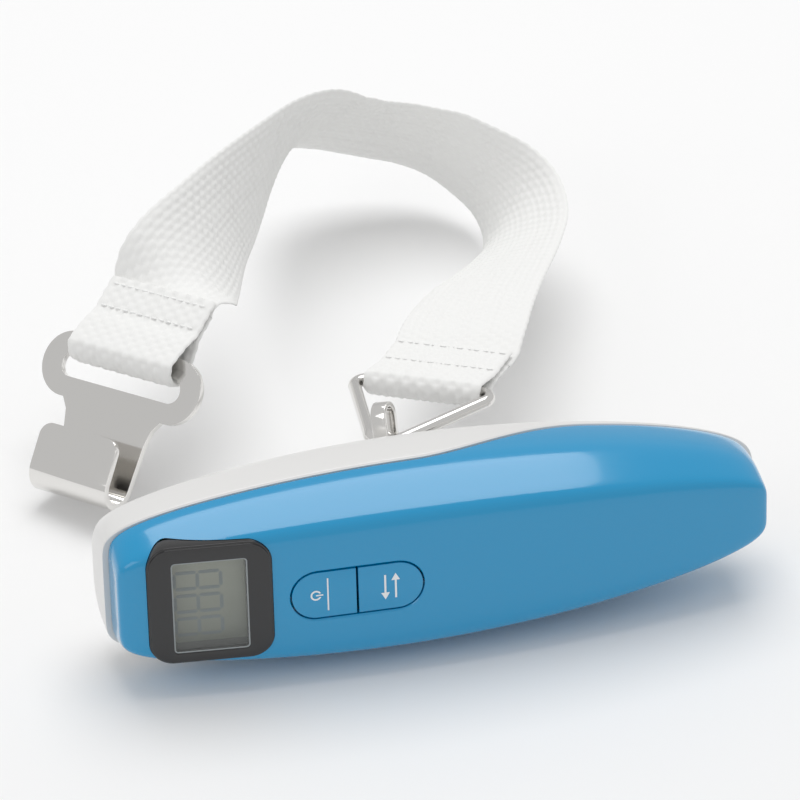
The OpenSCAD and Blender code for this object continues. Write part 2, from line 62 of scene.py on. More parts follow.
class Grain(Enum):
    """Named relief patterns that a finish can carry."""

    MOULDED = "moulded"
    BRUSHED = "brushed"
    FIBRE = "fibre"


def grain_group() -> bpy.types.NodeTree:
    """Makes the node group that all finishes share.

    Returns:
        A group that takes a scale and an amount and gives a roughness offset and a height.
    """
    existing = bpy.data.node_groups.get("surface_grain")
    if existing:
        return existing
    tree = bpy.data.node_groups.new("surface_grain", "ShaderNodeTree")
    tree.interface.new_socket("Scale", in_out="INPUT", socket_type="NodeSocketVector")
    tree.interface.new_socket("Base Roughness", in_out="INPUT", socket_type="NodeSocketFloat")
    tree.interface.new_socket("Amount", in_out="INPUT", socket_type="NodeSocketFloat")
    tree.interface.new_socket("Roughness", in_out="OUTPUT", socket_type="NodeSocketFloat")
    tree.interface.new_socket("Height", in_out="OUTPUT", socket_type="NodeSocketFloat")
    put = tree.nodes.new
    source = put("NodeGroupInput")
    sink = put("NodeGroupOutput")
    coords = put("ShaderNodeTexCoord")
    stretch = put("ShaderNodeVectorMath")
    stretch.operation = "MULTIPLY"
    noise = put("ShaderNodeTexNoise")
    noise.inputs["Scale"].default_value = 1.0
    noise.inputs["Detail"].default_value = 4.0
    offset = put("ShaderNodeMath")
    offset.operation = "MULTIPLY_ADD"
    centre = put("ShaderNodeMath")
    centre.operation = "SUBTRACT"
    centre.inputs[1].default_value = 0.5
    link = tree.links.new
    link(coords.outputs["Object"], stretch.inputs[0])
    link(source.outputs["Scale"], stretch.inputs[1])
    link(stretch.outputs[0], noise.inputs["Vector"])
    link(noise.outputs["Fac"], centre.inputs[0])
    link(centre.outputs[0], offset.inputs[0])
    link(source.outputs["Amount"], offset.inputs[1])
    link(source.outputs["Base Roughness"], offset.inputs[2])
    link(offset.outputs[0], sink.inputs["Roughness"])
    link(noise.outputs["Fac"], sink.inputs["Height"])
    return tree


@dataclass(frozen=True)
class Finish:
    """A procedural surface: one shader with shared grain.

    Args:
        name: Material name.
        colour: Linear base colour.
        roughness: Middle roughness.
        metallic: 1 for metal.
        coat: Clear coat weight.
        alpha: 1 for opaque.
        sheen: Fabric sheen weight.
        grain: Which relief pattern.
        amount: How far the grain moves the roughness.
        relief: Height of the grain in metres.
        shade: Darker second colour that the first blends into along ramp_axis, a painted shade, or None.
        ramp: Object coordinates in metres where the blend starts and ends.
    """

    name: str
    colour: tuple
    roughness: float = 0.4
    metallic: float = 0.0
    coat: float = 0.0
    alpha: float = 1.0
    sheen: float = 0.0
    grain: Grain = Grain.MOULDED
    amount: float = 0.06
    relief: float = 0.000004
    shade: tuple = None
    ramp: tuple = (0.0, 1.0)
    ramp_axis: int = 2

    def build(self) -> bpy.types.Material:
        """Makes the material, once.

        Returns:
            The material with this finish's name.
        """
        made = bpy.data.materials.get(self.name)
        if made:
            return made
        material = bpy.data.materials.new(self.name)
        material.use_nodes = True
        tree = material.node_tree
        shader = tree.nodes["Principled BSDF"]
        shader.inputs["Base Color"].default_value = (*self.colour, 1.0)
        shader.inputs["Metallic"].default_value = self.metallic
        shader.inputs["Coat Weight"].default_value = self.coat
        shader.inputs["Coat Roughness"].default_value = 0.06
        shader.inputs["Alpha"].default_value = self.alpha
        shader.inputs["Sheen Weight"].default_value = self.sheen
        group = tree.nodes.new("ShaderNodeGroup")
        group.node_tree = grain_group()
        group.inputs["Scale"].default_value = {
            Grain.MOULDED: (900.0, 900.0, 900.0),
            Grain.BRUSHED: (300.0, 2600.0, 2600.0),
            Grain.FIBRE: (2600.0, 2600.0, 2600.0),
        }[self.grain]
        group.inputs["Base Roughness"].default_value = self.roughness
        group.inputs["Amount"].default_value = self.amount
        bump = tree.nodes.new("ShaderNodeBump")
        bump.inputs["Distance"].default_value = self.relief
        tree.links.new(group.outputs["Roughness"], shader.inputs["Roughness"])
        tree.links.new(group.outputs["Height"], bump.inputs["Height"])
        tree.links.new(bump.outputs["Normal"], shader.inputs["Normal"])
        if self.shade:
            self.paint_shade_ramp(tree, shader)
        return material

    def paint_shade_ramp(self, tree: bpy.types.NodeTree, shader: bpy.types.Node) -> None:
        """Paints shade by blending the colour into the darker shade colour along one object axis.

        Args:
            tree: The material's node tree.
            shader: The node whose base colour is fed.
        """
        coords = tree.nodes.new("ShaderNodeTexCoord")
        split = tree.nodes.new("ShaderNodeSeparateXYZ")
        remap = tree.nodes.new("ShaderNodeMapRange")
        remap.inputs["From Min"].default_value = self.ramp[0]
        remap.inputs["From Max"].default_value = self.ramp[1]
        mix = tree.nodes.new("ShaderNodeMix")
        mix.data_type = "RGBA"
        mix.inputs["A"].default_value = (*self.colour, 1.0)
        mix.inputs["B"].default_value = (*self.shade, 1.0)
        tree.links.new(coords.outputs["Object"], split.inputs[0])
        tree.links.new(split.outputs[self.ramp_axis], remap.inputs["Value"])
        tree.links.new(remap.outputs["Result"], mix.inputs["Factor"])
        tree.links.new(mix.outputs["Result"], shader.inputs["Base Color"])


BLUE = Finish("cover_blue", (0.0, 0.285, 0.56), 0.16, coat=0.6, amount=0.03, relief=0.000002)
WHITE = Finish("cover_white", (0.74, 0.735, 0.725), 0.3, coat=0.15, amount=0.05)
BLACK = Finish("bezel_black", (0.008, 0.008, 0.009), 0.14, coat=0.4, amount=0.03)
CLEAR = Finish("window_clear", (0.75, 0.78, 0.76), 0.05, coat=0.3, alpha=0.1, amount=0.01)
# Grey ring round the window: a painted highlight on the window's edge.
RIM_HIGHLIGHT = Finish("window_edge_highlight", (0.34, 0.37, 0.38), 0.25, amount=0.05)
# LCD panel with painted shade: darker towards the bottom, where the window's recess shades it.
PANEL_PAINTED_SHADE = Finish(
    "lcd_panel", (0.25, 0.27, 0.21), 0.32, amount=0.05, shade=(0.13, 0.145, 0.11), ramp=(0.030, 0.010)
)
DIGIT = Finish("lcd_digit", (0.1, 0.13, 0.14), 0.4)
NICKEL = Finish("nickel", (0.76, 0.75, 0.72), 0.2, 1.0, grain=Grain.BRUSHED, amount=0.08, relief=0.000003)
STEEL = Finish("steel", (0.55, 0.55, 0.57), 0.32, 1.0, grain=Grain.BRUSHED, amount=0.1)
BRASS = Finish("contact_brass", (0.8, 0.6, 0.28), 0.3, 1.0)
WEBBING = Finish(
    "webbing", (0.54, 0.54, 0.535), 0.85, sheen=0.25, grain=Grain.FIBRE, amount=0.1, relief=0.00005
)
THREAD = Finish("thread", (0.66, 0.66, 0.655), 0.7, sheen=0.2, grain=Grain.FIBRE)
MARK = Finish("mark_white", (0.85, 0.87, 0.88), 0.5)
BOARD = Finish("board_green", (0.02, 0.16, 0.07), 0.4)
MOULDING = Finish("inner_moulding", (0.09, 0.09, 0.1), 0.5)
IVORY = Finish("ivory_plastic", (0.7, 0.68, 0.6), 0.45)
PINK = Finish("elastomer_pink", (0.6, 0.22, 0.33), 0.6)
RED = Finish("wire_red", (0.4, 0.02, 0.02), 0.4)
CHIP = Finish("chip_black", (0.015, 0.015, 0.015), 0.45)

NODE_FINISH = {
    "display_bezel": BLACK, "display_window": CLEAR, "lcd_panel": PANEL_PAINTED_SHADE, "lcd_holder": MOULDING,
    "zebra_strips": PINK, "display_board": BOARD, "controller_chip": CHIP, "holder_screws": STEEL,
    "power_key": BLUE, "power_key_icons": MARK, "unit_key": BLUE, "unit_key_icon": MARK,
    "power_plunger": IVORY, "unit_plunger": IVORY, "tact_switches": MOULDING, "key_board": BOARD,
    "key_board_screws": STEEL, "load_beam": STEEL, "strain_gauges": IVORY, "beam_spacer": STEEL,
    "beam_screws": STEEL, "pull_lug": STEEL, "lug_screws": STEEL, "link_pin": STEEL, "pull_eye": NICKEL,
    "triangle_ring": NICKEL, "strap": WEBBING, "strap_stitching": THREAD, "hook_plate": NICKEL,
    "battery_cell": STEEL, "battery_clip": BRASS, "battery_spring": BRASS, "battery_door": WHITE,
    "housing_screws": STEEL, "load_cell_wires": RED, "battery_wires": CHIP,
    "front_cover": BLUE, "rear_cover": WHITE,
}


def mesh_object(name: str, points: np.ndarray, faces: list, finish: Finish, smooth: float = 40.0):
    """Makes an object from points in millimetres.

    Args:
        name: Object name.
        points: N by 3 array.
        faces: Index rows, each a list of three or more.
        finish: Its surface.
        smooth: Edges sharper than this many degrees stay sharp.

    Returns:
        The linked object, at the origin.
    """
    mesh = bpy.data.meshes.new(name)
    mesh.from_pydata((np.asarray(points) * MM).tolist(), [], [list(map(int, f)) for f in faces])
    mesh.update()
    mesh.polygons.foreach_set("use_smooth", np.ones(len(mesh.polygons), dtype=bool))
    mesh.set_sharp_from_angle(angle=math.radians(smooth))
    mesh.materials.append(finish.build())
    obj = bpy.data.objects.new(name, mesh)
    bpy.context.scene.collection.objects.link(obj)
    return obj


def grid_faces(rows: int, cols: int, wrap: bool = False, base: int = 0, flip: bool = False) -> np.ndarray:
    """Quads of a grid of points stored row by row.

    Args:
        rows: Number of point rows.
        cols: Number of points in a row.
        wrap: Whether the last column joins the first.
        base: Index of the first point.
        flip: Whether to turn the faces over.

    Returns:
        Array of quads.
    """
    i, j = np.meshgrid(np.arange(rows - 1), np.arange(cols if wrap else cols - 1), indexing="ij")
    k = (j + 1) % cols
    near = i * cols
    far = near + cols
    quads = base + np.stack([near + j, far + j, far + k, near + k], axis=-1).reshape(-1, 4)
    return quads[:, ::-1] if flip else quads


@dataclass
class CaseShape:
    """The outline of the case in case axes: u along it, v across it, n out through the display.

    The section is a soft polygon: radius r(f) = (sum of (n_i . e(f) / d_i)^p)^(-1/p) over the planes
    of the face, shoulders, drafted sides, lower shoulders and rear, so corners stay rounded.
    """

    length: float = 139.0
    half: float = 20.5
    face: float = 15.0
    rear: float = 15.0
    bow: float = 414.0
    draft: float = 4.0
    rise: float = 20.65
    power: float = 16.0

    def half_width(self, u: np.ndarray) -> np.ndarray:
        """Gives the half width of the case.

        Args:
            u: Place along the case in millimetres.

        Returns:
            Half width in millimetres.
        """
        return self.half - 0.0015 * (u + 8.0) ** 2

    def face_at(self, u: np.ndarray) -> np.ndarray:
        """Gives the height of the face.

        Args:
            u: Place along the case in millimetres.

        Returns:
            Height in millimetres.
        """
        return self.face - u * u / (2.0 * self.bow)

    def seam_at(self, u: np.ndarray) -> np.ndarray:
        """Gives the height of the seam: level, then an S down to the plain end.

        Args:
            u: Place along the case in millimetres.

        Returns:
            Height in millimetres.
        """
        t = np.clip((u + 5.0) / 40.0, 0.0, 1.0)
        return -9.0 * t * t * (3.0 - 2.0 * t)

    def radius(self, u, f, step, cut) -> np.ndarray:
        """Gives the section radius.

        Args:
            u: Place along the case.
            f: Angle round the section in radians.
            step: How far the side planes move out.
            cut: How far every plane moves in.

        Returns:
            Radius in millimetres.
        """
        a = self.half_width(u)
        tilt = math.radians(self.draft)
        planes = [
            (math.cos(tilt), -math.sin(tilt), a + step), (-math.cos(tilt), -math.sin(tilt), a + step),
            (0.0, 1.0, self.face_at(u)), (0.0, -1.0, self.rear - u * u / 3600.0),
            (math.cos(math.radians(24)), math.sin(math.radians(24)), 0.983 * a),
            (-math.cos(math.radians(24)), math.sin(math.radians(24)), 0.983 * a),
            (math.cos(math.radians(50)), -math.sin(math.radians(50)), 1.085 * a + step),
            (-math.cos(math.radians(50)), -math.sin(math.radians(50)), 1.085 * a + step),
        ]
        total = sum(
            (np.maximum(0.0, nv * np.cos(f) + nn * np.sin(f)) / (d - cut)) ** self.power
            for nv, nn, d in planes
        )
        return total ** (-1.0 / self.power)

    def skin(self, t, f, step, cut, reach) -> np.ndarray:
        """Gives the points of one layer of the skin.

        Args:
            t: Place along, from 0 to 1.
            f: Angle round in radians.
            step: How far the side planes move out.
            cut: Depth of this layer under the outside.
            reach: How far the ends move out.

        Returns:
            Points in case axes.
        """
        x = -np.cos(np.pi * t)
        u = (self.length / 2.0 + reach - cut.min()) * x
        power = np.where(u < 0, 9.0, 6.0)
        wide = np.maximum(0.0, 1.0 - np.abs(x) ** power) ** (1.0 / power)
        deep = np.maximum(0.0, 1.0 - np.abs(x) ** 20.0) ** 0.05
        r = self.radius(u, f, step, cut)
        return np.stack([u, r * np.cos(f) * wide, r * np.sin(f) * deep], axis=-1)

    def place(self, points: np.ndarray) -> np.ndarray:
        """Turns case axes into the row frame.

        Args:
            points: Rows of u, v and n in millimetres.

        Returns:
            The same rows as x, y and z.
        """
        tilt = math.radians(self.draft)
        u, v, n = np.moveaxis(np.asarray(points, dtype=float), -1, 0)
        y = v * math.sin(tilt) - n * math.cos(tilt)
        return np.stack([u, y, self.rise + v * math.cos(tilt) + n * math.sin(tilt)], axis=-1)

    def on_face(self, u: float, v: float, points: np.ndarray) -> np.ndarray:
        """Points given on the face at (u, v), z out of it, in the row frame."""
        lean = math.asin(u / self.bow)
        x, y, z = np.moveaxis(np.asarray(points, dtype=float), -1, 0)
        moved = [u + x * math.cos(lean) + z * math.sin(lean), v + y]
        moved.append(self.face_at(u) - x * math.sin(lean) + z * math.cos(lean))
        return self.place(np.stack(moved, axis=-1))


def rounded_outline(w: float, h: float, r: float, steps: int = 16) -> np.ndarray:
    """Outline of a rounded rectangle, anticlockwise from the +x side."""
    turn = np.linspace(0.0, np.pi / 2.0, steps)
    corners = [(1, 1, 0), (-1, 1, 1), (-1, -1, 2), (1, -1, 3)]
    parts = []
    for sx, sy, k in corners:
        a = turn + k * np.pi / 2.0
        parts.append(np.stack([sx * (w / 2 - r) + r * np.cos(a), sy * (h / 2 - r) + r * np.sin(a)], axis=-1))
    return np.concatenate(parts)


def lofted(outlines: list, heights: list) -> tuple:
    """A closed solid through matching outlines at the given heights.

    Returns:
        Points and faces.
    """
    count = len(outlines[0])
    points = np.concatenate([np.column_stack([o, np.full(count, z)]) for o, z in zip(outlines, heights)])
    faces = grid_faces(len(heights), count, wrap=True, flip=True).tolist()
    faces.append(list(range(count))[::-1])
    faces.append(list(range((len(heights) - 1) * count, len(heights) * count)))
    return points, faces


@dataclass
class Cutter:
    """Collects closed tool solids and carves them out of one object."""

    points: list = field(default_factory=list)
    faces: list = field(default_factory=list)
    count: int = 0

    def add(self, points: np.ndarray, faces: list) -> None:
        """Adds a closed solid in row-frame millimetres."""
        self.faces += [[i + self.count for i in f] for f in faces]
        self.points.append(points)
        self.count += len(points)

    @staticmethod
    def volume(mesh: bpy.types.Mesh) -> float:
        """Volume of a closed mesh in cubic metres: the sum of a . (b x c) / 6 over its triangles."""
        mesh.calc_loop_triangles()
        corner = np.empty(len(mesh.vertices) * 3)
        mesh.vertices.foreach_get("co", corner)
        index = np.empty(len(mesh.loop_triangles) * 3, dtype=np.int32)
        mesh.loop_triangles.foreach_get("vertices", index)
        a, b, c = (corner.reshape(-1, 3)[index.reshape(-1, 3)[:, k]] for k in range(3))
        return abs(float(np.sum(a * np.cross(b, c)) / 6.0))

    @classmethod
    def require_shell(cls, name: str, mesh: bpy.types.Mesh, before: float) -> None:
        """Stops the script when carving has taken more of a shell than its openings could.

        Args:
            name: Object name for the message.
            mesh: The carved mesh.
            before: Volume before carving.
        """
        after = cls.volume(mesh)
        log.info("%s: %.0f mm3 before carving, %.0f after", name, before * 1e9, after * 1e9)
        if after < 0.6 * before:
            raise ValueError(f"{name} kept only {after / before:.0%} of its volume")

    def carve(self, obj) -> None:
        """Takes the tools out of obj and bakes the result into its mesh."""
        tool = mesh_object("tool", np.concatenate(self.points), self.faces, WHITE)
        modifier = obj.modifiers.new("carve", "BOOLEAN")
        modifier.operation = "DIFFERENCE"
        modifier.solver = "EXACT"
        modifier.use_self = True
        modifier.object = tool
        before = self.volume(obj.data)
        graph = bpy.context.evaluated_depsgraph_get()
        mesh = bpy.data.meshes.new_from_object(obj.evaluated_get(graph))
        obj.modifiers.clear()
        obj.data = mesh
        bpy.data.objects.remove(tool)
        self.require_shell(obj.name, mesh, before)
        mesh.polygons.foreach_set("use_smooth", np.ones(len(mesh.polygons), dtype=bool))
        mesh.set_sharp_from_angle(angle=math.radians(35))


@dataclass
class Case:
    """The two covers as fine skins with their openings."""

    shape: CaseShape = field(default_factory=CaseShape)
    rows: int = 170
    arcs: int = 120
    bezel: tuple = (-51.05, 0.55, 25.9, 27.7, 5.1)
    keys: tuple = (-20.7, -0.5, 28.2, 11.4, 5.69)
    screws: tuple = ((-36, 10.5), (-36, -10.5), (14, 10.5), (14, -10.5), (54, 5), (54, -5))

    def cover(self, region: Region):
        """Makes one cover: outer and inner skin joined by a rolled lip along the seam.

        Args:
            region: Which half.

        Returns:
            The object.
        """
        front = region is Region.FRONT
        step, reach = (0.0, 0.0) if front else (0.4, 1.2)
        t = np.linspace(0.004, 0.996, self.rows)[:, None]
        s = (1.0 - np.cos(np.pi * np.linspace(0.0, 1.0, self.arcs + 1)))[None, :] / 2.0
        x = -np.cos(np.pi * t) * (self.shape.length / 2 + reach)
        lip = np.arctan2(self.shape.seam_at(x), self.shape.half_width(x))
        gap = math.radians(0.3)
        low = lip + gap if front else np.pi - lip + gap
        high = np.pi - lip - gap if front else 2 * np.pi + lip - gap
        f = low + (high - low) * s
        edge = 20.0 * (high - low) * np.minimum(s, 1.0 - s)
        roll = 0.3 * np.exp(-((edge / 0.3) ** 2))
        outer = self.shape.skin(t + 0 * f, f, step, roll, reach)
        inner = self.shape.skin(t + 0 * f, f, step, np.full_like(f, 2.0), reach)
        layers = [self.shape.place(outer).reshape(-1, 3), self.shape.place(inner).reshape(-1, 3)]
        size = self.rows * (self.arcs + 1)
        cols = self.arcs + 1
        faces = grid_faces(self.rows, cols, flip=True).tolist()
        faces += grid_faces(self.rows, cols, base=size).tolist()
        i = np.arange(self.rows - 1) * cols
        j = i + self.arcs
        faces += np.stack([i, i + cols, i + cols + size, i + size], axis=-1).tolist()
        faces += np.stack([j + cols, j, j + size, j + cols + size], axis=-1).tolist()
        last = (self.rows - 1) * cols
        ends = np.array([[-1.0, 0, 0], [1.0, 0, 0]])
        poles = self.shape.place(ends * (self.shape.length / 2 + reach))
        inner_poles = self.shape.place(ends * (self.shape.length / 2 + reach - 2))
        points = np.concatenate(layers + [poles, inner_poles])
        points[:, 2] = np.maximum(points[:, 2], 0.0)
        a, b, c, d = 2 * size, 2 * size + 1, 2 * size + 2, 2 * size + 3
        k = np.arange(self.arcs)
        faces += np.stack([np.full_like(k, a), k + 1, k], axis=-1).tolist()
        faces += np.stack([np.full_like(k, b), last + k, last + k + 1], axis=-1).tolist()
        faces += np.stack([np.full_like(k, c), size + k, size + k + 1], axis=-1).tolist()
        faces += np.stack([np.full_like(k, d), size + last + k + 1, size + last + k], axis=-1).tolist()
        faces += [[a, 0, size, c], [self.arcs, a, c, size + self.arcs]]
        faces += [[last, b, d, size + last], [b, last + self.arcs, size + last + self.arcs, d]]
        name = "fine_front_cover" if front else "fine_rear_cover"
        obj = mesh_object(name, points, faces, BLUE if front else WHITE)
        self.face_outward(obj)
        return obj

    @staticmethod
    def face_outward(obj) -> None:
        """Makes the faces of a closed mesh agree and point outward."""
        work = bmesh.new()
        work.from_mesh(obj.data)
        bmesh.ops.recalc_face_normals(work, faces=work.faces)
        work.to_mesh(obj.data)
        work.free()

    def flared(self, u, v, w, h, r, depth) -> tuple:
        """A tool for an opening in the face with a small chamfer at its mouth."""
        outlines = [rounded_outline(w, h, r)] * 2 + [rounded_outline(w + 5, h + 5, r + 2.5)]
        points, faces = lofted(outlines, [-depth, -0.35, 2.15])
        return self.shape.on_face(u, v, points), faces

    def build(self) -> list:
        """Makes and carves both covers.

        Returns:
            The two objects.
        """
        front = self.cover(Region.FRONT)
        tools = Cutter()
        points, faces = lofted([rounded_outline(*self.bezel[2:])] * 2, [-8.0, 6.0])
        tools.add(self.shape.on_face(self.bezel[0], self.bezel[1], points), faces)
        tools.add(*self.flared(*self.keys, 5.0))
        tools.carve(front)
        rear = self.cover(Region.REAR)
        tools = Cutter()
        for u, v in self.screws:
            ring = rounded_outline(5.4, 5.4, 2.69)
            points, faces = lofted([ring, ring], [-18.0, -11.0])
            tools.add(self.shape.place(points + np.array([u, v, 0.0])), faces)
        slot = rounded_outline(11.0, 8.8, 0.8)
        points, faces = lofted([slot, slot], [-17.5, -11.0])
        tools.add(self.shape.place(points + np.array([-4.8, 0.0, 0.0])), faces)
        door = rounded_outline(22.4, 22.4, 11.19)
        points, faces = lofted([door, door], [-18.0, -13.1])
        tools.add(self.shape.place(points + np.array([-48.0, 0.0, 0.0])), faces)
        tools.carve(rear)
        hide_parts("front_cover")
        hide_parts("rear_cover")
        for piece in (front, rear):
            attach(piece, "case")
        return [front, rear]


@dataclass
class Display:
    """Painted highlight round the window's edge, and the unlit digits behind it."""

    shape: CaseShape
    u: float = -51.05
    v: float = -0.1
    digit_rows: tuple = (4.15, -1.3, -6.75)

    def segment(self, x0: float, y0: float, x1: float, y1: float, wide: float) -> tuple:
        """A bar with pointed ends from one point to another, as a thin solid."""
        a, b = np.array([x0, y0]), np.array([x1, y1])
        along = (b - a) / np.linalg.norm(b - a)
        side = np.array([-along[1], along[0]]) * wide / 2
        tip = along * wide / 2
        outline = np.array([a, a + tip - side, b - tip - side, b, b - tip + side, a + tip + side])
        return lofted([outline, outline], [-3.64, -3.6])

    def digits(self):
        """Makes the seven bars of each digit, lying on their side with tops to the display end.

        Returns:
            The object.
        """
        cutter = Cutter()
        left, mid, right = -7.0, -2.2, 2.6
        for row in self.digit_rows:
            low, high = row - 1.9, row + 1.9
            bars = [
                (left, low, left, high), (mid, low, mid, high), (right, low, right, high),
                (left, low, mid, low), (mid, low, right, low),
                (left, high, mid, high), (mid, high, right, high),
            ]
            for x0, y0, x1, y1 in bars:
                gap = 0.16
                dx, dy = np.sign(x1 - x0) * gap, np.sign(y1 - y0) * gap
                cutter.add(*self.segment(x0 + dx, y0 + dy, x1 - dx, y1 - dy, 0.75))
        points = self.shape.on_face(self.u, self.v, np.concatenate(cutter.points))
        obj = mesh_object("lcd_digits", points, cutter.faces, DIGIT)
        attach(obj, "case")
        return obj

    def edge_highlight(self):
        """Makes a thin grey ring round the window: a painted highlight on the window's edge.

        Returns:
            The object.
        """
        wide = rounded_outline(15.7, 21.4, 0.9)
        thin = rounded_outline(15.1, 20.8, 0.6)
        loops = ((wide, 0.02), (wide, 0.1), (thin, 0.1), (thin, 0.02))
        points = np.concatenate([np.column_stack([o, np.full(len(o), z)]) for o, z in loops])
        count = len(wide)
        faces = grid_faces(4, count, wrap=True, flip=True).tolist()
        k = np.arange(count)
        faces += np.stack([3 * count + k, 3 * count + (k + 1) % count, (k + 1) % count, k], axis=-1).tolist()
        obj = mesh_object("window_edge_highlight", self.shape.on_face(self.u, self.v, points), faces, RIM_HIGHLIGHT)
        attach(obj, "case")
        return obj

    def build(self) -> list:
        """Returns the display's own pieces."""
        return [self.digits(), self.edge_highlight()]


@dataclass
class FoldedEnd:
    """Axes of one stitched end of the strap: along the strap, across it and up from it."""

    bar: tuple
    along: tuple
    across: tuple
    clear: float
    thickness: float = 1.3

    def point(self, x: float, y: float) -> np.ndarray:
        """A point x along and y up from the bar, in millimetres."""
        up = np.cross(self.across, self.along)
        return np.array(self.bar) + x * np.array(self.along) + y * up

    def profile(self) -> np.ndarray:
        """Centre line of the webbing from the main layer's end, round the bar and back along the tail."""
        layer = self.thickness / 2 + 0.03
        radius = self.clear + self.thickness / 2
        turn = np.radians(np.linspace(-105, -255, 9))
        loop = [self.point(radius * math.cos(a), radius * math.sin(a)) for a in turn]
        main = [self.point(x, -layer) for x in (17.0, 14.0, 11.0, radius + 5.0)]
        tail = [self.point(x, layer) for x in (radius + 5.0, 11.0, 14.0, 17.0)]
        ease = [self.point(radius + 1.2, -radius * 0.62)]
        back = [self.point(radius + 1.2, radius * 0.62)]
        return np.array(main + ease + loop + back + tail)


